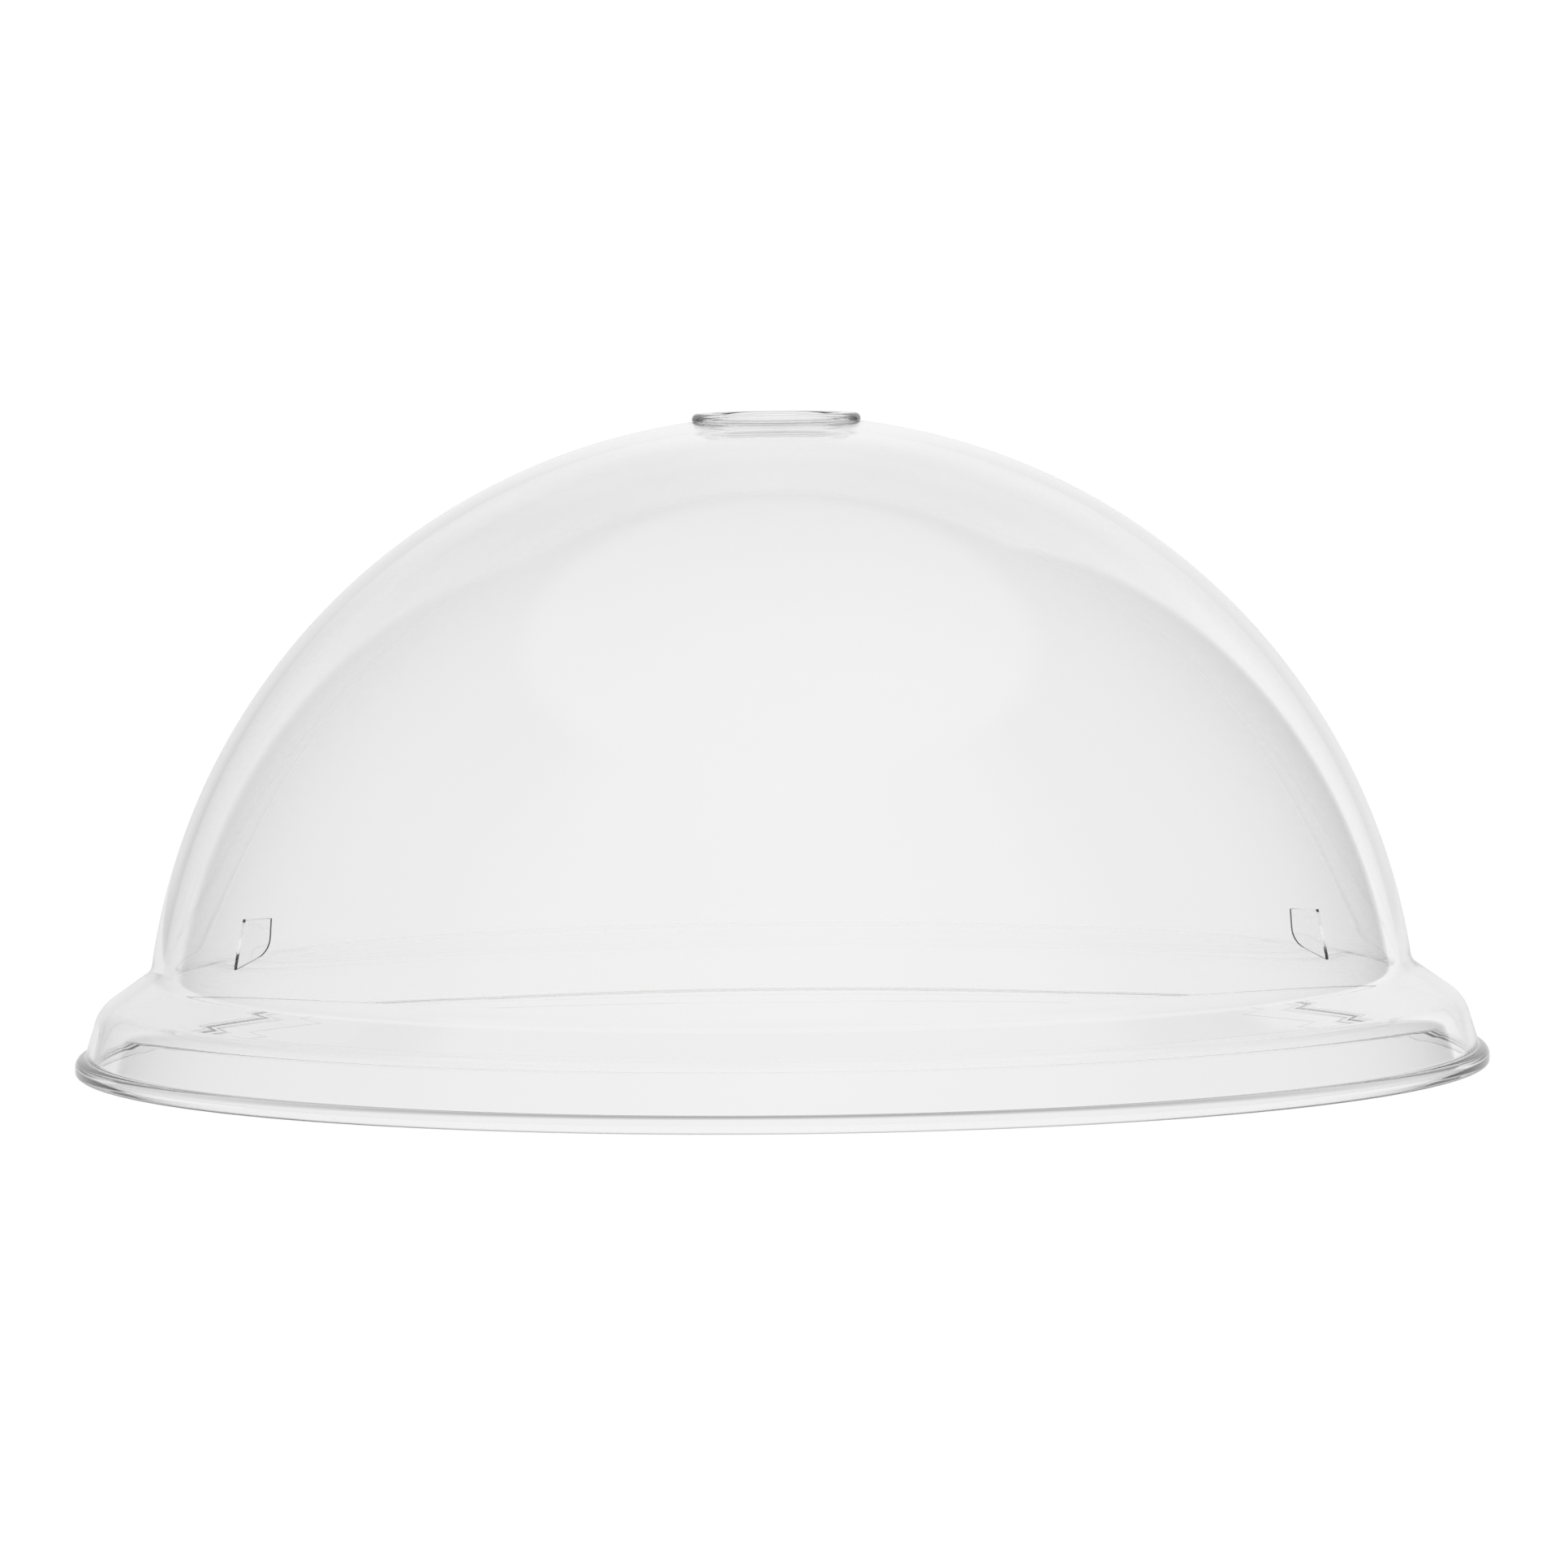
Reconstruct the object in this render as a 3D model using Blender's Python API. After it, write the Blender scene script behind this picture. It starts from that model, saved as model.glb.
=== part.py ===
"""Clear domed cover with a stepped base, a rolled rim and a push-in vent plug.

Metres, +Z up. The rim stands on z = 0 and the cover is turned about the Z axis.
The cover is one clear moulding whose features are separate solids here:
dome_shell, base_skirt, rim_bead and two locating ribs. The vent plug is loose
and lifts straight up out of the hole in the crown.
"""

import math

import bmesh
import bpy

# ---------------------------------------------------------------- dimensions
MM = 0.001
GAP = 0.3 * MM                  # clearance left between neighbouring solids

RIM_RADIUS = 150.0 * MM         # widest point of the rolled rim
WALL = 2.4 * MM                 # thickness of the moulded wall

DOME_RADIUS = 135.0 * MM        # outer radius of the spherical dome
DOME_CENTRE = 2.6 * MM          # height of the sphere's centre
SPLIT_HEIGHT = 23.8 * MM        # height where dome_shell ends and base_skirt starts

NECK_HEIGHT = 21.1 * MM         # height where the dome meets the shoulder
NECK_FILLET = 4.2 * MM
SHOULDER_SLOPE = math.radians(35.0)     # fall of the shoulder below level
SHOULDER_RADIUS = 144.9 * MM    # radius where shoulder and skirt would meet
SHOULDER_FILLET = 8.0 * MM
SKIRT_DRAFT = math.radians(17.0)        # lean of the skirt from upright

BEAD_HEIGHT = 3.5 * MM          # height of the rolled rim
BEAD_TOP_ROUND = 1.9 * MM       # rounding of the bead's upper outer edge
BEAD_FOOT_ROUND = 0.6 * MM      # rounding between the bead's side and its flat foot

HOLE_RADIUS = 16.4 * MM         # vent hole in the crown
PLUG_LIP_RADIUS = 17.9 * MM
PLUG_LIP_ROUND = 1.3 * MM       # rounding of the lip's upper outer edge
PLUG_BODY_RADIUS = 16.0 * MM
PLUG_TAPER = 0.3 * MM           # how much narrower the body is at its lower end
PLUG_TOP = 138.2 * MM
PLUG_BOTTOM = 132.0 * MM        # middle of the dished underside
PLUG_DISH = 0.6 * MM            # rise of the underside from its middle to its edge
PLUG_FOOT_ROUND = 1.8 * MM      # rounding of the body's lower edge
PLUG_FLOOR = 2.2 * MM           # thickness of the recess floor
RECESS_RADIUS = 13.2 * MM
RECESS_TAPER = 0.4 * MM
RECESS_DISH = 0.4 * MM          # rise of the recess floor from its middle to its edge
RECESS_EDGE = 1.2 * MM          # rounding of the recess mouth
RECESS_CORNER = 0.6 * MM        # rounding of the recess floor's edge

RIB_THICKNESS = 1.2 * MM
RIB_CLEARANCE = 0.6 * MM        # to the dome's sphere, inside which its flat facets stand
RIB_TOP = 36.7 * MM
RIB_TOP_RADIUS = 122.3 * MM     # inner end of the flat top
RIB_KNEE = 29.9 * MM            # height where the inner edge turns outward
RIB_KNEE_RADIUS = 122.9 * MM
RIB_KNEE_ROUND = 5.0 * MM
RIB_TIP = 25.9 * MM             # height of the pointed lower end
RIB_BEARINGS = {                # degrees about +Z from +X; -90 faces the front
    "locating_rib_right": -31.9,
    "locating_rib_left": -148.1,
}

RIM_SEGMENTS = 60               # steps round the cover
PLUG_SEGMENTS = 48              # steps round the plug

CLEAR_COLOUR = (0.93, 0.95, 0.95, 1.0)
PLASTIC_IOR = 1.58


# ------------------------------------------------------------------ outlines
# An outline is a list of (radius, height) points.

def circle_radius(radius, centre, height):
    """Radius, at a height, of a sphere that is centred on the axis."""
    return math.sqrt(radius ** 2 - (height - centre) ** 2)


def circle_height(radius, centre, at_radius):
    """Height, at a distance from the axis, of a sphere that is centred on it."""
    return centre + math.sqrt(radius ** 2 - at_radius ** 2)


def sphere_arc(radius, top_radius, bottom_height, steps):
    """Points down the dome's sphere, from a radius near the top to a height."""
    start = math.asin(top_radius / radius)
    end = math.acos((bottom_height - DOME_CENTRE) / radius)
    points = []
    for i in range(steps + 1):
        angle = start + (end - start) * i / steps
        points.append((radius * math.sin(angle), DOME_CENTRE + radius * math.cos(angle)))
    return points


def fillet(before, corner, after, radius, steps):
    """Points of the round that replaces a corner of an outline."""
    to_before = unit(before[0] - corner[0], before[1] - corner[1])
    to_after = unit(after[0] - corner[0], after[1] - corner[1])
    cosine = to_before[0] * to_after[0] + to_before[1] * to_after[1]
    half = math.acos(cosine) / 2
    middle = unit(to_before[0] + to_after[0], to_before[1] + to_after[1])
    reach = radius / math.sin(half)
    centre = (corner[0] + middle[0] * reach, corner[1] + middle[1] * reach)
    tangent = radius / math.tan(half)
    start = (corner[0] + to_before[0] * tangent, corner[1] + to_before[1] * tangent)
    end = (corner[0] + to_after[0] * tangent, corner[1] + to_after[1] * tangent)
    first = math.atan2(start[1] - centre[1], start[0] - centre[0])
    turn = math.atan2(end[1] - centre[1], end[0] - centre[0]) - first
    turn = (turn + math.pi) % (2 * math.pi) - math.pi
    points = []
    for i in range(steps + 1):
        angle = first + turn * i / steps
        points.append((centre[0] + radius * math.cos(angle), centre[1] + radius * math.sin(angle)))
    return points


def unit(x, y):
    """A vector of length 1 along (x, y)."""
    length = math.hypot(x, y)
    return (x / length, y / length)


def inner_skin(outer, thickness):
    """The inside of a wall, from the outside listed top to bottom."""
    points = []
    for i, point in enumerate(outer):
        before = outer[max(i - 1, 0)]
        after = outer[min(i + 1, len(outer) - 1)]
        along = unit(after[0] - before[0], after[1] - before[1])
        points.append((point[0] + along[1] * thickness, point[1] - along[0] * thickness))
    return points


def skirt_radius(height):
    """Outer radius of the skirt's straight side at a height."""
    return SHOULDER_RADIUS + (shoulder_height() - height) * math.tan(SKIRT_DRAFT)


def shoulder_height():
    """Height where the shoulder's slope and the skirt's side would meet."""
    neck = circle_radius(DOME_RADIUS, DOME_CENTRE, NECK_HEIGHT)
    return NECK_HEIGHT - (SHOULDER_RADIUS - neck) * math.tan(SHOULDER_SLOPE)


def dome_outline():
    """Spherical wall from the vent hole down to the split above the neck."""
    bottom = SPLIT_HEIGHT + GAP / 2
    outer = sphere_arc(DOME_RADIUS, HOLE_RADIUS, bottom, 12)
    inner = sphere_arc(DOME_RADIUS - WALL, HOLE_RADIUS, bottom, 12)
    return outer + inner[::-1]


def skirt_outline():
    """Short neck, sloping shoulder and drafted skirt, of one wall thickness."""
    top = SPLIT_HEIGHT - GAP / 2
    bottom = BEAD_HEIGHT + GAP
    start = (circle_radius(DOME_RADIUS, DOME_CENTRE, top), top)
    neck = (circle_radius(DOME_RADIUS, DOME_CENTRE, NECK_HEIGHT), NECK_HEIGHT)
    corner = (SHOULDER_RADIUS, shoulder_height())
    end = (skirt_radius(bottom), bottom)
    outer = [start]
    outer += fillet(start, neck, corner, NECK_FILLET, 3)
    outer += fillet(neck, corner, end, SHOULDER_FILLET, 4)
    outer += [end]
    inner = inner_skin(outer, WALL)
    inner[0] = (inner[0][0], top)
    inner[-1] = (inner[-1][0], bottom)
    return outer + inner[::-1]


def bead_outline():
    """Rolled rim: flat foot, round outer side, and the wall's own inner face."""
    wall_outer = (skirt_radius(BEAD_HEIGHT), BEAD_HEIGHT)
    wall_inner = (wall_outer[0] - WALL / math.cos(SKIRT_DRAFT), BEAD_HEIGHT)
    foot_inner = (wall_inner[0] + BEAD_HEIGHT * math.tan(SKIRT_DRAFT), 0.0)
    outer_top = (RIM_RADIUS, BEAD_HEIGHT)
    outer_bottom = (RIM_RADIUS, 0.0)
    points = [wall_inner, wall_outer]
    points += fillet(wall_outer, outer_top, outer_bottom, BEAD_TOP_ROUND, 4)
    points += fillet(outer_top, outer_bottom, foot_inner, BEAD_FOOT_ROUND, 4)
    points += [foot_inner]
    return points


def plug_outline():
    """Cup-shaped plug: thick rounded lip, tapered body and a recess with a floor."""
    lip_top = (PLUG_LIP_RADIUS, PLUG_TOP)
    lip_under = (PLUG_LIP_RADIUS, circle_height(DOME_RADIUS, DOME_CENTRE, PLUG_LIP_RADIUS) + GAP)
    throat = (PLUG_BODY_RADIUS, seat_height())
    foot = (PLUG_BODY_RADIUS - PLUG_TAPER, PLUG_BOTTOM + PLUG_DISH)
    underside = (0.0, PLUG_BOTTOM)
    recess_floor = (0.0, PLUG_BOTTOM + PLUG_FLOOR)
    floor_edge = (RECESS_RADIUS - RECESS_TAPER, recess_floor[1] + RECESS_DISH)
    mouth = (RECESS_RADIUS, PLUG_TOP)
    points = fillet(mouth, lip_top, lip_under, PLUG_LIP_ROUND, 4)
    points += [lip_under, throat]
    points += fillet(throat, foot, underside, PLUG_FOOT_ROUND, 4)
    points += [underside, recess_floor]
    points += fillet(recess_floor, floor_edge, mouth, RECESS_CORNER, 3)
    points += fillet(floor_edge, mouth, lip_top, RECESS_EDGE, 3)
    return points


def seat_height():
    """Height where the plug's lip turns down into its body, just above the vent hole."""
    return circle_height(DOME_RADIUS, DOME_CENTRE, HOLE_RADIUS) + GAP


def rib_outline():
    """Flat-topped fin on the dome's inner face, with a round knee and a pointed lower end."""
    wall = DOME_RADIUS - WALL - RIB_CLEARANCE
    root = (circle_radius(wall, DOME_CENTRE, RIB_TOP), RIB_TOP)
    tip = (circle_radius(wall, DOME_CENTRE, RIB_TIP), RIB_TIP)
    knee = (RIB_KNEE_RADIUS, RIB_KNEE)
    top = (RIB_TOP_RADIUS, RIB_TOP)
    return [root, tip] + fillet(tip, knee, top, RIB_KNEE_ROUND, 5) + [top]


# ------------------------------------------------------------------ modelling

def clear_scene():
    """Remove every object, so that the script starts from nothing."""
    for obj in list(bpy.data.objects):
        bpy.data.objects.remove(obj, do_unlink=True)


def clear_plastic(name, roughness):
    """Colourless see-through plastic."""
    material = bpy.data.materials.new(name)
    material.use_nodes = True
    shader = material.node_tree.nodes["Principled BSDF"]
    shader.inputs["Base Color"].default_value = CLEAR_COLOUR
    shader.inputs["Roughness"].default_value = roughness
    shader.inputs["Metallic"].default_value = 0.0
    shader.inputs["IOR"].default_value = PLASTIC_IOR
    shader.inputs["Transmission Weight"].default_value = 1.0
    return material


def add_object(name, mesh, material):
    """Put a mesh in the scene as a named object with its own material."""
    obj = bpy.data.objects.new(name, mesh)
    obj.data.materials.append(material)
    bpy.context.scene.collection.objects.link(obj)
    return obj


def turned(name, outline, segments, origin_height, material):
    """A solid turned from an outline listed down its outer side."""
    mesh = bpy.data.meshes.new(name)
    points = [(radius, 0.0, height - origin_height) for radius, height in outline]
    edges = [(i, (i + 1) % len(points)) for i in range(len(points))]
    if min(radius for radius, _ in outline) == 0.0:
        edges = [(a, b) for a, b in edges if points[a][0] > 0.0 or points[b][0] > 0.0]
    mesh.from_pydata(points, edges, [])
    obj = add_object(name, mesh, material)
    obj.location = (0.0, 0.0, origin_height)
    screw = obj.modifiers.new("Turn", "SCREW")
    screw.axis = "Z"
    screw.angle = math.radians(360.0)
    screw.steps = segments
    screw.render_steps = segments
    screw.use_merge_vertices = True
    screw.merge_threshold = 0.00001
    screw.use_smooth_shade = True
    return obj


def plate(name, outline, thickness, bearing, material):
    """A flat plate that stands in the plane through the axis at a bearing."""
    mesh = bpy.data.meshes.new(name)
    form = bmesh.new()
    corners = [form.verts.new((radius, -thickness / 2, height)) for radius, height in outline]
    face = form.faces.new(corners)
    swept = bmesh.ops.extrude_face_region(form, geom=[face])
    moved = [item for item in swept["geom"] if isinstance(item, bmesh.types.BMVert)]
    bmesh.ops.translate(form, verts=moved, vec=(0.0, thickness, 0.0))
    bmesh.ops.recalc_face_normals(form, faces=form.faces)
    form.to_mesh(mesh)
    form.free()
    obj = add_object(name, mesh, material)
    obj.rotation_euler = (0.0, 0.0, bearing)
    return obj


def build_cover():
    """The moulded cover: dome, stepped base, rim and ribs."""
    turned("dome_shell", dome_outline(), RIM_SEGMENTS, 0.0, clear_plastic("dome_clear", 0.03))
    turned("base_skirt", skirt_outline(), RIM_SEGMENTS, 0.0, clear_plastic("skirt_clear", 0.04))
    turned("rim_bead", bead_outline(), RIM_SEGMENTS, 0.0, clear_plastic("bead_clear", 0.05))
    for name, bearing in RIB_BEARINGS.items():
        material = clear_plastic(name + "_clear", 0.06)
        plate(name, rib_outline(), RIB_THICKNESS, math.radians(bearing), material)


def build_plug():
    """The loose plug, with its origin on the axis at the height of its seat."""
    turned("vent_plug", plug_outline(), PLUG_SEGMENTS, seat_height(), clear_plastic("plug_clear", 0.04))


clear_scene()
build_cover()
build_plug()
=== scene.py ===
"""Looks of the clear domed cover: fine meshes, clear moulded plastic, a white studio and the camera.

Metres, +Z up, rim standing on z = 0. The cover is one moulding, so its CAD solids are
replaced by one continuous shell that is united with its two ribs. The loose plug is
its own piece on its own body.
"""

import math

import bmesh
import bpy
from mathutils import Euler, Matrix


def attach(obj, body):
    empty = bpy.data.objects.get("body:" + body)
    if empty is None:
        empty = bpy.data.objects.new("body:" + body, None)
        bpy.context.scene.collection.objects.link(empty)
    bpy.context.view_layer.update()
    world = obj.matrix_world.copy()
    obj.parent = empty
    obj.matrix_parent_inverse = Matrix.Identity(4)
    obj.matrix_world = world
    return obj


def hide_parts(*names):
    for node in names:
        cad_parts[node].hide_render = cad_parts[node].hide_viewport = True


MM = 0.001

# ----------------------------------------------------------------- dimensions
# The features' sizes are the CAD's. Small rounds are added, and the gaps between its
# solids are closed, but for a thinner one under the plug's lip.
RIM_RADIUS = 150.0 * MM         # widest point of the rolled rim
WALL = 2.4 * MM                 # thickness of the moulded wall

DOME_RADIUS = 135.0 * MM        # outer radius of the spherical dome
DOME_CENTRE = 2.6 * MM          # height of the sphere's centre

NECK_HEIGHT = 21.1 * MM         # height where the dome meets the shoulder
NECK_FILLET = 4.2 * MM
NECK_LEAD = 5.0 * MM            # the dome is taken as straight over this height above the neck
SHOULDER_SLOPE = math.radians(35.0)     # fall of the shoulder below level
SHOULDER_RADIUS = 144.9 * MM    # radius where shoulder and skirt would meet
SHOULDER_FILLET = 8.0 * MM
SKIRT_DRAFT = math.radians(17.0)        # lean of the skirt from upright

BEAD_HEIGHT = 3.5 * MM
BEAD_TOP_ROUND = 1.9 * MM
BEAD_FOOT_ROUND = 0.6 * MM
BEAD_CORNER = 0.8 * MM          # rounding where the skirt runs into the bead
FOOT_EDGE = 0.3 * MM            # rounding of the foot's inner edge

HOLE_RADIUS = 16.4 * MM         # vent hole in the crown
HOLE_EDGE = 0.5 * MM
PLUG_LIP_RADIUS = 17.9 * MM
PLUG_LIP_ROUND = 1.3 * MM       # rounding of the lip's upper outer edge
PLUG_LIP_UNDER = 0.2 * MM       # rounding of its lower outer edge
PLUG_BODY_RADIUS = 16.0 * MM
PLUG_TAPER = 0.3 * MM
PLUG_TOP = 138.2 * MM
PLUG_BOTTOM = 132.0 * MM        # middle of the dished underside
PLUG_DISH = 0.6 * MM            # rise of the underside from its middle to its edge
PLUG_FOOT_ROUND = 1.8 * MM
PLUG_FLOOR = 2.2 * MM
RECESS_RADIUS = 13.2 * MM
RECESS_TAPER = 0.4 * MM
RECESS_DISH = 0.4 * MM          # rise of the recess floor from its middle to its edge
RECESS_EDGE = 1.2 * MM          # rounding of the recess mouth
RECESS_CORNER = 0.6 * MM        # rounding of the recess floor's edge
SEAT_GAP = 0.1 * MM             # between the lip and the dome

RIB_THICKNESS = 1.2 * MM
RIB_TOP = 36.7 * MM
RIB_TOP_RADIUS = 122.3 * MM
RIB_KNEE = 29.9 * MM
RIB_KNEE_RADIUS = 122.9 * MM
RIB_KNEE_ROUND = 5.0 * MM
RIB_TIP = 25.9 * MM
RIB_EDGE = 0.2 * MM             # rounding of the rims of the fin's broad faces
RIB_INWARD = -0.3               # faces whose normal points further in than this are its free edge
RIB_DOWNWARD = -0.5             # and so are those that point further down than this
RIB_BEARINGS = (-31.9, -148.1)  # degrees about +Z from +X

SHELL_SEGMENTS = 240            # steps round the cover
PLUG_SEGMENTS = 144             # steps round the plug

# -------------------------------------------------------------------- plastic
PLASTIC_IOR = 1.55
COVER_TINT = (0.962, 0.962, 0.962)
COVER_GRAIN = 11.0              # scale of the tint's noise; flow waves and scuffs follow from it
PLUG_TINT = (0.955, 0.955, 0.955)
PLUG_GRAIN = 40.0
TINT_SPREAD = 0.01              # how much darker the tint gets in places
SCUFF_ROUGHNESS = 0.03
WAVE_STRENGTH = 0.05
WAVE_DEPTH = 0.1 * MM
# painted shade: near-black colour of the ribs' free edge, standing in for the dark line that light bending
# through the clear fin makes
RIB_EDGE_PAINTED_SHADE_COLOUR = (0.06, 0.06, 0.06, 1.0)
RIB_EDGE_ROUGHNESS = 0.3

# --------------------------------------------------------------------- studio
# Radiances, as the plastic mirrors them. The white sweep is what is seen straight through it.
WHITE = 1.02                    # the sweep: table top and low horizon, all round
TABLE_SHADE = 0.965             # the table under the object, where little light comes round it
TABLE_SHADE_RADIUS = 0.150
TABLE_SHADE_SOFTNESS = 0.004
CONTACT_SHADE = 0.35            # dark ring on the table, under and just inside the foot, at the front
CONTACT_INNER = 0.1430
CONTACT_INNER_SOFTNESS = 0.002
CONTACT_OUTER = 0.1480
CONTACT_OUTER_SOFTNESS = 0.0004
CONTACT_FADE = 140.0            # degrees from +Y where the contact shade is half its depth
CONTACT_FADE_WIDTH = 40.0
HORIZON_TOP = 6.0               # degrees of elevation that the sweep reaches
HORIZON_SOFTNESS = 1.0
FAR_SWEEP_TOP = 16.0            # degrees that it reaches for light that crosses the far wall
FAR_SWEEP_SOFTNESS = 6.0
FAR_WALL_FACES = 3              # plastic faces crossed from which light counts as past the near wall
ALL_WHITE_FACES = 5             # plastic faces crossed from which the whole surround is white
TABLE_NEAR = 0.83               # the table close round the object, when mirrored
TABLE_NEAR_RADIUS = 1.2
TABLE_NEAR_SOFTNESS = 0.04
BACKDROP_LEFT = 38.0            # degrees of azimuth, left and right of +Y
BACKDROP_RIGHT = 34.5
BACKDROP_TOP = 1.40             # height over distance of its upper edge
BACKDROP_ACROSS = ((-38, 0.64), (-24, 0.63), (-14, 0.78), (0, 0.95), (12, 0.84), (22, 0.77), (32, 0.86))
BACKDROP_UP = ((0.0, 1.0), (0.4, 1.0), (0.7, 0.78), (1.0, 0.60), (1.4, 0.48))
ROOM_ROUND = ((0, 0.18), (60, 0.17), (105, 0.10), (140, 0.35), (180, 0.50))
CEILING = 0.42
CEILING_EDGE = 56.0             # degrees of elevation
FLOOR_RADIUS = 9.0
FLOOR_HEIGHT = -0.05 * MM

# --------------------------------------------------------------------- camera
CAMERA_PLACE = (0.00091, -1.9849, 0.18757)
CAMERA_PITCH = math.radians(-3.694)
CAMERA_ROLL = math.radians(-0.547)
CAMERA_SENSOR = 36.0
CAMERA_LENS = 215.15


# ------------------------------------------------------------------- outlines
# An outline is a list of (radius, height) points.

def unit(x, y):
    """A vector of length 1 along (x, y)."""
    length = math.hypot(x, y)
    return (x / length, y / length)


def circle_radius(radius, height):
    """Radius, at a height, of a sphere about the dome's centre."""
    return math.sqrt(radius ** 2 - (height - DOME_CENTRE) ** 2)


def circle_height(radius, at_radius):
    """Height, at a distance from the axis, of a sphere about the dome's centre."""
    return DOME_CENTRE + math.sqrt(radius ** 2 - at_radius ** 2)


def sphere_arc(radius, top_radius, bottom_height, steps):
    """Points down a sphere about the dome's centre."""
    start = math.asin(top_radius / radius)
    end = math.acos((bottom_height - DOME_CENTRE) / radius)
    points = []
    for i in range(steps + 1):
        angle = start + (end - start) * i / steps
        points.append((radius * math.sin(angle), DOME_CENTRE + radius * math.cos(angle)))
    return points


def line(start, end, steps):
    """Points between two ends, without the ends."""
    points = []
    for i in range(1, steps):
        share = i / steps
        points.append((start[0] + (end[0] - start[0]) * share, start[1] + (end[1] - start[1]) * share))
    return points


def fillet(before, corner, after, radius, steps):
    """Points of the round that replaces a corner of an outline."""
    to_before = unit(before[0] - corner[0], before[1] - corner[1])
    to_after = unit(after[0] - corner[0], after[1] - corner[1])
    cosine = to_before[0] * to_after[0] + to_before[1] * to_after[1]
    half = math.acos(cosine) / 2
    middle = unit(to_before[0] + to_after[0], to_before[1] + to_after[1])
    reach = radius / math.sin(half)
    centre = (corner[0] + middle[0] * reach, corner[1] + middle[1] * reach)
    tangent = radius / math.tan(half)
    start = (corner[0] + to_before[0] * tangent, corner[1] + to_before[1] * tangent)
    end = (corner[0] + to_after[0] * tangent, corner[1] + to_after[1] * tangent)
    first = math.atan2(start[1] - centre[1], start[0] - centre[0])
    turn = math.atan2(end[1] - centre[1], end[0] - centre[0]) - first
    turn = (turn + math.pi) % (2 * math.pi) - math.pi
    points = []
    for i in range(steps + 1):
        angle = first + turn * i / steps
        points.append((centre[0] + radius * math.cos(angle), centre[1] + radius * math.sin(angle)))
    return points


def wall_corners(depth):
    """Neck, shoulder corner and foot of the wall's face at a depth below its outer face."""
    neck = (circle_radius(DOME_RADIUS, NECK_HEIGHT), NECK_HEIGHT)
    corner = (SHOULDER_RADIUS, NECK_HEIGHT - (SHOULDER_RADIUS - neck[0]) * math.tan(SHOULDER_SLOPE))
    on_slope = (corner[0] - depth * math.sin(SHOULDER_SLOPE), corner[1] - depth * math.cos(SHOULDER_SLOPE))
    on_skirt = (corner[0] - depth * math.cos(SKIRT_DRAFT), corner[1] - depth * math.sin(SKIRT_DRAFT))
    neck = meet_sphere(on_slope, DOME_RADIUS - depth)
    corner = meet_lines(on_slope, on_skirt)
    foot = (corner[0] + corner[1] * math.tan(SKIRT_DRAFT), 0.0)
    return neck, corner, foot


def meet_sphere(on_slope, radius):
    """Where the shoulder's slope through a point meets a sphere about the dome's centre."""
    falls = math.tan(SHOULDER_SLOPE)
    at_axis = on_slope[1] + on_slope[0] * falls - DOME_CENTRE
    square = 1.0 + falls ** 2
    middle = falls * at_axis / square
    at_radius = middle + math.sqrt(middle ** 2 - (at_axis ** 2 - radius ** 2) / square)
    return (at_radius, DOME_CENTRE + at_axis - falls * at_radius)


def meet_lines(on_slope, on_skirt):
    """Where the shoulder's slope and the skirt's side, each through a point, meet."""
    falls = math.tan(SHOULDER_SLOPE)
    steepness = 1.0 / math.tan(SKIRT_DRAFT)
    across = on_skirt[0] - on_slope[0]
    drop = on_slope[1] - on_skirt[1]
    step = (across * steepness - drop) / (steepness - falls)
    return (on_slope[0] + step, on_slope[1] - step * falls)


def shell_outline():
    """Closed outline of the whole moulding: outer face down, bead, inner face up, hole."""
    _, _, foot = corners = wall_corners(0.0)
    _, inner_corner, inner_foot = inner_corners = wall_corners(WALL)
    outer = neck_to_shoulder(DOME_RADIUS, corners, NECK_FILLET, SHOULDER_FILLET)
    inner = neck_to_shoulder(DOME_RADIUS - WALL, inner_corners, NECK_FILLET + WALL, SHOULDER_FILLET - WALL)

    hole_top = (HOLE_RADIUS, circle_height(DOME_RADIUS, HOLE_RADIUS))
    hole_bottom = (HOLE_RADIUS, circle_height(DOME_RADIUS - WALL, HOLE_RADIUS))
    dome = sphere_arc(DOME_RADIUS, HOLE_RADIUS + HOLE_EDGE, outer[0][1], 96)
    inner_dome = sphere_arc(DOME_RADIUS - WALL, HOLE_RADIUS + HOLE_EDGE, inner[0][1], 96)

    skirt_end = (foot[0] - BEAD_HEIGHT * math.tan(SKIRT_DRAFT), BEAD_HEIGHT)
    bead_top = (RIM_RADIUS, BEAD_HEIGHT)
    bead_bottom = (RIM_RADIUS, 0.0)

    points = fillet(hole_bottom, hole_top, dome[0], HOLE_EDGE * 0.9, 5)
    points += dome[1:-1] + outer
    points += line(outer[-1], skirt_end, 6)
    points += fillet(outer[-1], skirt_end, bead_top, BEAD_CORNER, 5)
    points += fillet(skirt_end, bead_top, bead_bottom, BEAD_TOP_ROUND, 12)
    points += fillet(bead_top, bead_bottom, inner_foot, BEAD_FOOT_ROUND, 10)
    points += fillet(bead_bottom, inner_foot, inner_corner, FOOT_EDGE, 4)
    points += line(inner_foot, inner[-1], 6)
    points += inner[::-1] + inner_dome[1:-1][::-1]
    points += fillet(inner_dome[0], hole_bottom, hole_top, HOLE_EDGE * 0.9, 5)
    return points


def neck_to_shoulder(radius, corners, neck_round, shoulder_round):
    """Neck round, shoulder slope and shoulder round of one face of the wall."""
    neck, corner, foot = corners
    above = (circle_radius(radius, neck[1] + NECK_LEAD), neck[1] + NECK_LEAD)
    turn_in = fillet(above, neck, corner, neck_round, 14)
    turn_down = fillet(neck, corner, foot, shoulder_round, 12)
    return turn_in + line(turn_in[-1], turn_down[0], 5) + turn_down


def dish(middle_height, rise, radius, steps):
    """Points out from the axis along a shallow dish."""
    return [(radius * i / steps, middle_height + rise * (i / steps) ** 2) for i in range(steps + 1)]


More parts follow.
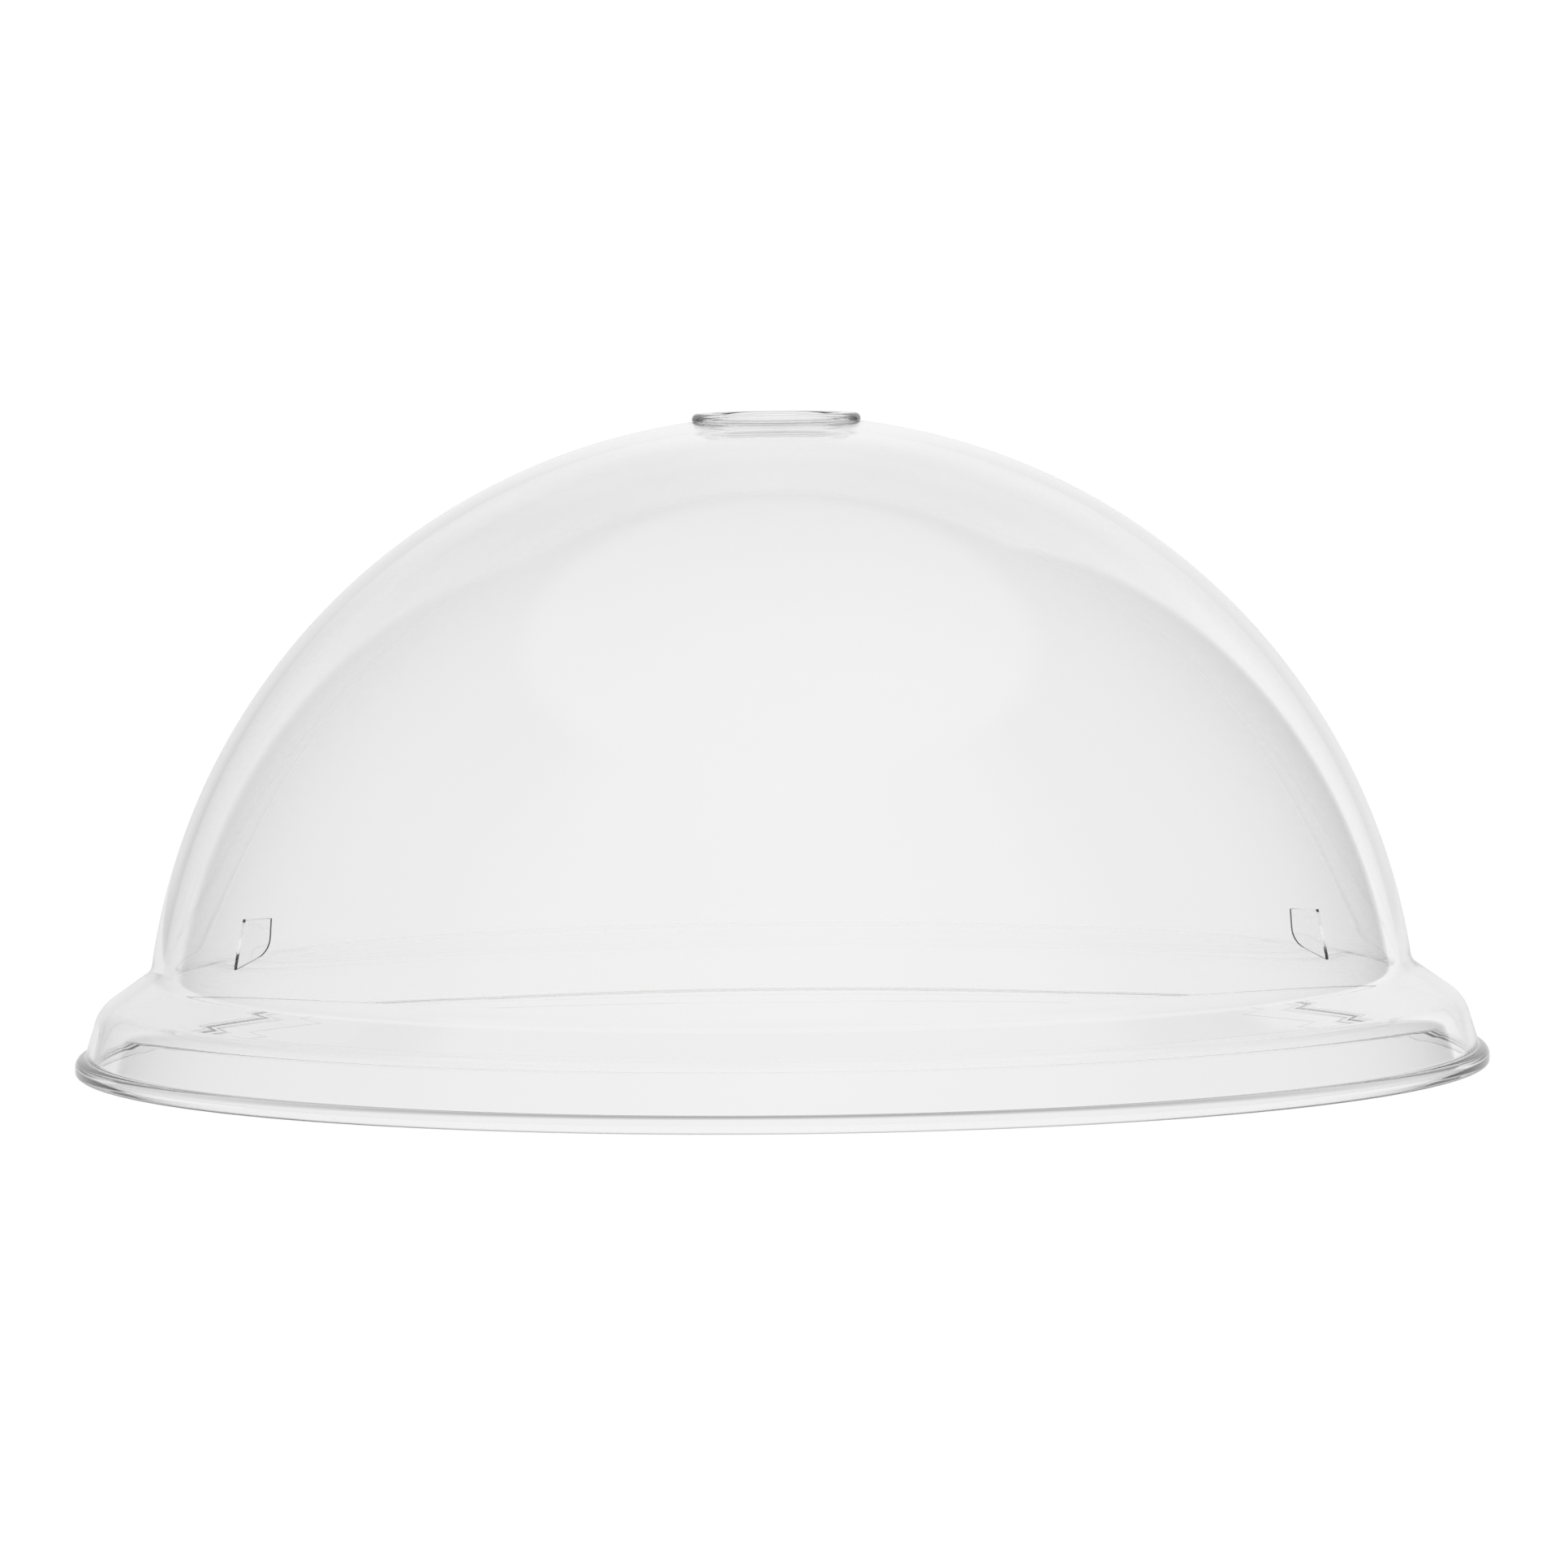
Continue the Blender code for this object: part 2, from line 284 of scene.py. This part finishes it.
def plug_outline():
    """Cup-shaped plug: thick rounded lip, short body and a recess, with a dished floor."""
    lip_top = (PLUG_LIP_RADIUS, PLUG_TOP)
    lip_under = (PLUG_LIP_RADIUS, circle_height(DOME_RADIUS, PLUG_LIP_RADIUS) + SEAT_GAP)
    throat = (PLUG_BODY_RADIUS, circle_height(DOME_RADIUS, HOLE_RADIUS) + SEAT_GAP)
    mouth = (RECESS_RADIUS, PLUG_TOP)
    underside = dish(PLUG_BOTTOM, PLUG_DISH, PLUG_BODY_RADIUS - PLUG_TAPER, 24)
    recess_floor = dish(PLUG_BOTTOM + PLUG_FLOOR, RECESS_DISH, RECESS_RADIUS - RECESS_TAPER, 24)
    points = fillet(mouth, lip_top, lip_under, PLUG_LIP_ROUND, 12)
    points += fillet(lip_top, lip_under, throat, PLUG_LIP_UNDER, 4)
    points += [throat] + line(throat, underside[-1], 4)
    points += fillet(throat, underside[-1], underside[-3], PLUG_FOOT_ROUND, 6)
    points += underside[:-2][::-1] + recess_floor[:-2]
    points += fillet(recess_floor[-3], recess_floor[-1], mouth, RECESS_CORNER, 6)
    points += fillet(recess_floor[-1], mouth, lip_top, RECESS_EDGE, 10)
    return points


def rib_outline():
    """Flat-topped fin that reaches into the wall, with a round knee and a pointed lower end."""
    middle = DOME_RADIUS - WALL / 2
    tip = (circle_radius(middle, RIB_TIP), RIB_TIP)
    knee = (RIB_KNEE_RADIUS, RIB_KNEE)
    top = (RIB_TOP_RADIUS, RIB_TOP)
    root = (circle_radius(middle, RIB_TOP), RIB_TOP)
    return [root, tip] + fillet(tip, knee, top, RIB_KNEE_ROUND, 8) + [top]


# --------------------------------------------------------------------- meshes

def add_piece(name, form):
    """Put a finished bmesh in the scene as a named, smooth-shaded object."""
    bmesh.ops.recalc_face_normals(form, faces=form.faces)
    mesh = bpy.data.meshes.new(name)
    form.to_mesh(mesh)
    form.free()
    for polygon in mesh.polygons:
        polygon.use_smooth = True
    obj = bpy.data.objects.new(name, mesh)
    bpy.context.scene.collection.objects.link(obj)
    return obj


def turned(name, outline, segments):
    """A solid turned about +Z from a closed outline."""
    form = bmesh.new()
    rings = []
    for radius, height in outline:
        if radius == 0.0:
            rings.append([form.verts.new((0.0, 0.0, height))] * segments)
            continue
        ring = []
        for i in range(segments):
            angle = 2.0 * math.pi * i / segments
            ring.append(form.verts.new((radius * math.cos(angle), radius * math.sin(angle), height)))
        rings.append(ring)
    for here, there in zip(rings, rings[1:] + rings[:1]):
        for i in range(segments):
            j = (i + 1) % segments
            corners = [here[i], here[j], there[j], there[i]]
            corners = [v for k, v in enumerate(corners) if v not in corners[:k]]
            if len(corners) > 2:
                form.faces.new(corners)
    return add_piece(name, form)


def rib(name, bearing):
    """A thin fin in the plane through the axis at a bearing, with the near-black painted-shade material on
    its free edge.
    """
    form = bmesh.new()
    corners = [form.verts.new((r, -RIB_THICKNESS / 2, h)) for r, h in rib_outline()]
    face = form.faces.new(corners)
    swept = bmesh.ops.extrude_face_region(form, geom=[face])
    moved = [item for item in swept["geom"] if isinstance(item, bmesh.types.BMVert)]
    bmesh.ops.translate(form, verts=moved, vec=(0.0, RIB_THICKNESS, 0.0))
    rims = [e for e in form.edges if abs(e.verts[0].co.y - e.verts[1].co.y) < RIB_THICKNESS / 2]
    bmesh.ops.bevel(form, geom=rims, offset=RIB_EDGE, segments=3, profile=0.5, affect="EDGES")
    for face in form.faces:
        # the free edge's faces take the second material, the near-black painted shade
        face.material_index = int(face.normal.x < RIB_INWARD or face.normal.z < RIB_DOWNWARD)
    bmesh.ops.rotate(form, verts=form.verts, matrix=Matrix.Rotation(math.radians(bearing), 3, "Z"))
    return add_piece(name, form)


def unite(target, tool):
    """Join a tool solid to the target and remove the tool."""
    boolean = target.modifiers.new("Unite", "BOOLEAN")
    boolean.operation = "UNION"
    boolean.solver = "EXACT"
    boolean.material_mode = "INDEX"
    boolean.object = tool
    bpy.context.view_layer.update()
    graph = bpy.context.evaluated_depsgraph_get()
    joined = bpy.data.meshes.new_from_object(target.evaluated_get(graph))
    target.modifiers.clear()
    target.data = joined
    bpy.data.objects.remove(tool, do_unlink=True)


def build_cover():
    """The whole moulding as one closed shell with its two ribs."""
    cover = turned("clear_cover", shell_outline(), SHELL_SEGMENTS)
    cover.data.materials.append(clear_plastic("cover_plastic", COVER_TINT, COVER_GRAIN))
    # second material: near-black painted shade on the ribs' free edge
    cover.data.materials.append(painted_shade_edge("rib_edge_plastic"))
    for number, bearing in enumerate(RIB_BEARINGS):
        unite(cover, rib("rib_%d" % number, bearing))
    cover.data.set_sharp_from_angle(angle=math.radians(32.0))
    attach(cover, "cover")
    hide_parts("dome_shell", "base_skirt", "rim_bead", "locating_rib_right", "locating_rib_left")


def build_plug():
    """The loose plug in the crown."""
    plug = turned("clear_plug", plug_outline(), PLUG_SEGMENTS)
    plug.data.set_sharp_from_angle(angle=math.radians(40.0))
    plug.data.materials.append(clear_plastic("plug_plastic", PLUG_TINT, PLUG_GRAIN))
    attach(plug, "plug")
    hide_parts("vent_plug")


# ------------------------------------------------------------------ materials

def add_node(tree, kind, **settings):
    """A shader node with its own properties set."""
    node = tree.nodes.new(kind)
    for key, value in settings.items():
        setattr(node, key, value)
    return node


def calculate(tree, operation, first, second=0.0, third=0.0):
    """A Math node; each operand is a number or another node's output."""
    node = add_node(tree, "ShaderNodeMath", operation=operation)
    for socket, value in zip(node.inputs, (first, second, third)):
        if isinstance(value, (int, float)):
            socket.default_value = value
        else:
            tree.links.new(value, socket)
    return node.outputs[0]


def painted_shade_edge(name):
    """Painted shade: an opaque near-black stand-in for the ribs' free edge, which looks dark from the
    camera because of how light bends through the clear fin, not because of its colour.
    """
    material = bpy.data.materials.new(name)
    material.use_nodes = True
    shader = material.node_tree.nodes["Principled BSDF"]
    shader.inputs["Base Color"].default_value = RIB_EDGE_PAINTED_SHADE_COLOUR
    shader.inputs["Roughness"].default_value = RIB_EDGE_ROUGHNESS
    shader.inputs["Metallic"].default_value = 0.0
    shader.inputs["IOR"].default_value = PLASTIC_IOR
    return material


def clear_plastic(name, tint, grain):
    """Clear moulded plastic: faint flow waves in the face, and a trace of scuffing."""
    material = bpy.data.materials.new(name)
    material.use_nodes = True
    tree = material.node_tree
    shader = tree.nodes["Principled BSDF"]
    shader.inputs["IOR"].default_value = PLASTIC_IOR
    shader.inputs["Transmission Weight"].default_value = 1.0
    shader.inputs["Metallic"].default_value = 0.0

    place = add_node(tree, "ShaderNodeTexCoord").outputs["Object"]

    tone = add_node(tree, "ShaderNodeTexNoise")
    tone.inputs["Scale"].default_value = grain
    tone.inputs["Detail"].default_value = 2.0
    tree.links.new(place, tone.inputs["Vector"])
    tints = add_node(tree, "ShaderNodeValToRGB")
    tints.color_ramp.elements[0].position = 0.3
    tints.color_ramp.elements[0].color = (*[level - TINT_SPREAD for level in tint], 1.0)
    tints.color_ramp.elements[1].position = 0.7
    tints.color_ramp.elements[1].color = (*tint, 1.0)
    tree.links.new(tone.outputs["Fac"], tints.inputs["Fac"])
    tree.links.new(tints.outputs["Color"], shader.inputs["Base Color"])

    scuffs = add_node(tree, "ShaderNodeTexNoise")
    scuffs.inputs["Scale"].default_value = grain * 14.0
    scuffs.inputs["Detail"].default_value = 5.0
    tree.links.new(place, scuffs.inputs["Vector"])
    worn = add_node(tree, "ShaderNodeMapRange")
    worn.inputs["From Min"].default_value = 0.62
    worn.inputs["From Max"].default_value = 0.80
    worn.inputs["To Min"].default_value = 0.0
    worn.inputs["To Max"].default_value = SCUFF_ROUGHNESS
    tree.links.new(scuffs.outputs["Fac"], worn.inputs["Value"])
    tree.links.new(worn.outputs["Result"], shader.inputs["Roughness"])

    waves = add_node(tree, "ShaderNodeTexNoise")
    waves.inputs["Scale"].default_value = grain * 2.0
    waves.inputs["Detail"].default_value = 1.0
    tree.links.new(place, waves.inputs["Vector"])
    bump = add_node(tree, "ShaderNodeBump")
    bump.inputs["Strength"].default_value = WAVE_STRENGTH
    bump.inputs["Distance"].default_value = WAVE_DEPTH
    tree.links.new(waves.outputs["Fac"], bump.inputs["Height"])
    tree.links.new(bump.outputs["Normal"], shader.inputs["Normal"])
    return material


# --------------------------------------------------------------------- studio

def soft_step(tree, value, edge, softness):
    """1 below an edge, 0 above it, with a soft change between."""
    step = add_node(tree, "ShaderNodeMapRange", interpolation_type="SMOOTHSTEP")
    step.inputs["From Min"].default_value = edge - softness
    step.inputs["From Max"].default_value = edge + softness
    step.inputs["To Min"].default_value = 1.0
    step.inputs["To Max"].default_value = 0.0
    tree.links.new(value, step.inputs["Value"])
    return step.outputs["Result"]


def profile(tree, value, stops):
    """A smooth tone read off (value, tone) stops."""
    low, high = stops[0][0], stops[-1][0]
    spread = add_node(tree, "ShaderNodeMapRange")
    spread.inputs["From Min"].default_value = low
    spread.inputs["From Max"].default_value = high
    tree.links.new(value, spread.inputs["Value"])
    ramp = add_node(tree, "ShaderNodeValToRGB")
    ramp.color_ramp.interpolation = "EASE"
    while len(ramp.color_ramp.elements) < len(stops):
        ramp.color_ramp.elements.new(0.5)
    for element, (at, tone) in zip(ramp.color_ramp.elements, stops):
        element.position = (at - low) / (high - low)
        element.color = (tone, tone, tone, 1.0)
    tree.links.new(spread.outputs["Result"], ramp.inputs["Fac"])
    return ramp.outputs["Color"]


def blend(tree, first, second, share):
    """A share of the way from one value to another."""
    rest = calculate(tree, "SUBTRACT", 1.0, share)
    start = calculate(tree, "MULTIPLY", first, rest)
    return calculate(tree, "MULTIPLY_ADD", second, share, start)


def bearings(tree, vector):
    """Azimuth from +Y and elevation in degrees, and height over distance along +Y."""
    axes = add_node(tree, "ShaderNodeSeparateXYZ")
    tree.links.new(vector, axes.inputs["Vector"])
    azimuth = calculate(tree, "ARCTAN2", axes.outputs["X"], axes.outputs["Y"])
    azimuth = calculate(tree, "MULTIPLY", azimuth, 180.0 / math.pi)
    elevation = calculate(tree, "ARCSINE", axes.outputs["Z"])
    elevation = calculate(tree, "MULTIPLY", elevation, 180.0 / math.pi)
    depth = calculate(tree, "MAXIMUM", axes.outputs["Y"], 0.001)
    rise = calculate(tree, "DIVIDE", axes.outputs["Z"], depth)
    return azimuth, elevation, rise


def room_tone(tree, azimuth, rise):
    """Radiance of a flat backdrop with a dim room beside and in front of it."""
    to_left = calculate(tree, "MULTIPLY", azimuth, -1.0)
    inside = calculate(tree, "MULTIPLY", soft_step(tree, azimuth, BACKDROP_RIGHT, 1.0),
                       soft_step(tree, to_left, BACKDROP_LEFT, 2.0))
    inside = calculate(tree, "MULTIPLY", inside, soft_step(tree, rise, BACKDROP_TOP, 0.04))
    backdrop = calculate(tree, "MULTIPLY", profile(tree, azimuth, BACKDROP_ACROSS),
                         profile(tree, rise, BACKDROP_UP))
    off_axis = calculate(tree, "ABSOLUTE", azimuth)
    return blend(tree, profile(tree, off_axis, ROOM_ROUND), backdrop, inside)


def mirrored(tree):
    """1 for light that a surface has mirrored, 0 for a straight look."""
    path = add_node(tree, "ShaderNodeLightPath")
    return calculate(tree, "MINIMUM", path.outputs["Glossy Depth"], 1.0)


def past_faces(tree, count):
    """1 for light that has crossed at least a number of the plastic's faces, else 0."""
    path = add_node(tree, "ShaderNodeLightPath")
    return calculate(tree, "GREATER_THAN", path.outputs["Transmission Depth"], count - 0.5)


def build_world():
    """A dim room with a pale backdrop, and a white sweep low all round for light that isn't mirrored.

    The sweep stands higher for light past the near wall, and fills all for light past more faces.
    """
    world = bpy.data.worlds.new("studio")
    bpy.context.scene.world = world
    world.use_nodes = True
    tree = world.node_tree
    looking = add_node(tree, "ShaderNodeTexCoord").outputs["Generated"]
    azimuth, elevation, rise = bearings(tree, looking)
    below_ceiling = soft_step(tree, elevation, CEILING_EDGE, 3.0)
    tone = blend(tree, CEILING, room_tone(tree, azimuth, rise), below_ceiling)
    straight = calculate(tree, "SUBTRACT", 1.0, mirrored(tree))
    sweep = calculate(tree, "MULTIPLY", soft_step(tree, elevation, HORIZON_TOP, HORIZON_SOFTNESS), straight)
    far_height = soft_step(tree, elevation, FAR_SWEEP_TOP, FAR_SWEEP_SOFTNESS)
    far_sweep = calculate(tree, "MULTIPLY", far_height, past_faces(tree, FAR_WALL_FACES))
    white = calculate(tree, "MAXIMUM", calculate(tree, "MAXIMUM", sweep, far_sweep),
                      past_faces(tree, ALL_WHITE_FACES))
    tone = blend(tree, tone, WHITE, white)
    background = tree.nodes["Background"]
    tree.links.new(tone, background.inputs["Strength"])
    background.inputs["Color"].default_value = (1.0, 1.0, 1.0, 1.0)


def build_floor():
    """A white table top: as bright as the sweep, shaded by the object, and duller when mirrored."""
    form = bmesh.new()
    bmesh.ops.create_circle(form, cap_ends=True, radius=FLOOR_RADIUS, segments=96)
    bmesh.ops.translate(form, verts=form.verts, vec=(0.0, 0.0, FLOOR_HEIGHT))
    floor = add_piece("studio_floor", form)
    material = bpy.data.materials.new("floor_white")
    material.use_nodes = True
    tree = material.node_tree
    tree.nodes.remove(tree.nodes["Principled BSDF"])
    place = add_node(tree, "ShaderNodeNewGeometry").outputs["Position"]
    azimuth, _, rise = bearings(tree, place)
    distance = add_node(tree, "ShaderNodeVectorMath", operation="LENGTH")
    tree.links.new(place, distance.inputs[0])
    near = soft_step(tree, distance.outputs["Value"], TABLE_NEAR_RADIUS, TABLE_NEAR_SOFTNESS)
    table = blend(tree, room_tone(tree, azimuth, rise), TABLE_NEAR, near)
    under = soft_step(tree, distance.outputs["Value"], TABLE_SHADE_RADIUS, TABLE_SHADE_SOFTNESS)
    outside = soft_step(tree, distance.outputs["Value"], CONTACT_OUTER, CONTACT_OUTER_SOFTNESS)
    inside = soft_step(tree, distance.outputs["Value"], CONTACT_INNER, CONTACT_INNER_SOFTNESS)
    contact = calculate(tree, "SUBTRACT", outside, inside)
    off_axis = calculate(tree, "ABSOLUTE", azimuth)
    in_front = calculate(tree, "SUBTRACT", 1.0, soft_step(tree, off_axis, CONTACT_FADE, CONTACT_FADE_WIDTH))
    contact = calculate(tree, "MULTIPLY", contact, in_front)
    seen = blend(tree, blend(tree, WHITE, TABLE_SHADE, under), CONTACT_SHADE, contact)
    tone = blend(tree, seen, table, mirrored(tree))
    tone = blend(tree, tone, WHITE, past_faces(tree, FAR_WALL_FACES))
    glow = add_node(tree, "ShaderNodeEmission")
    tree.links.new(tone, glow.inputs["Strength"])
    tree.links.new(glow.outputs["Emission"], tree.nodes["Material Output"].inputs["Surface"])
    floor.data.materials.append(material)


def build_camera():
    """The camera that the views start from."""
    data = bpy.data.cameras.new("camera")
    data.sensor_width = CAMERA_SENSOR
    data.lens = CAMERA_LENS
    data.clip_start = 0.05
    data.clip_end = 50.0
    camera = bpy.data.objects.new("camera", data)
    bpy.context.scene.collection.objects.link(camera)
    tilt = Euler((math.radians(90.0) + CAMERA_PITCH, 0.0, 0.0)).to_matrix()
    roll = Matrix.Rotation(CAMERA_ROLL, 3, "Z")
    camera.matrix_world = Matrix.Translation(CAMERA_PLACE) @ (tilt @ roll).to_4x4()
    bpy.context.scene.camera = camera


def set_render():
    """Plain colours, and enough bounces for light to cross the walls."""
    scene = bpy.context.scene
    scene.view_settings.view_transform = "Standard"
    scene.view_settings.look = "None"
    scene.cycles.max_bounces = 32
    scene.cycles.transmission_bounces = 32
    scene.cycles.glossy_bounces = 16
    scene.cycles.transparent_max_bounces = 16
    scene.cycles.sample_clamp_indirect = 0.0
    scene.cycles.blur_glossy = 0.0
    scene.cycles.use_denoising = True


# ----------------------------------------------------------------------- make

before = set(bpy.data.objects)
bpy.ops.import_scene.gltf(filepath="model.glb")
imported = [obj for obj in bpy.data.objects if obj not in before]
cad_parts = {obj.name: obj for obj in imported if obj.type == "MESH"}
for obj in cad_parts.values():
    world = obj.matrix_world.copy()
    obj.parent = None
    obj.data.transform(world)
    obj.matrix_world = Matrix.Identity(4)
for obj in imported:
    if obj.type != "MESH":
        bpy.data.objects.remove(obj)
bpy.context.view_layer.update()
build_camera()
build_cover()
build_plug()
build_floor()
build_world()
set_render()
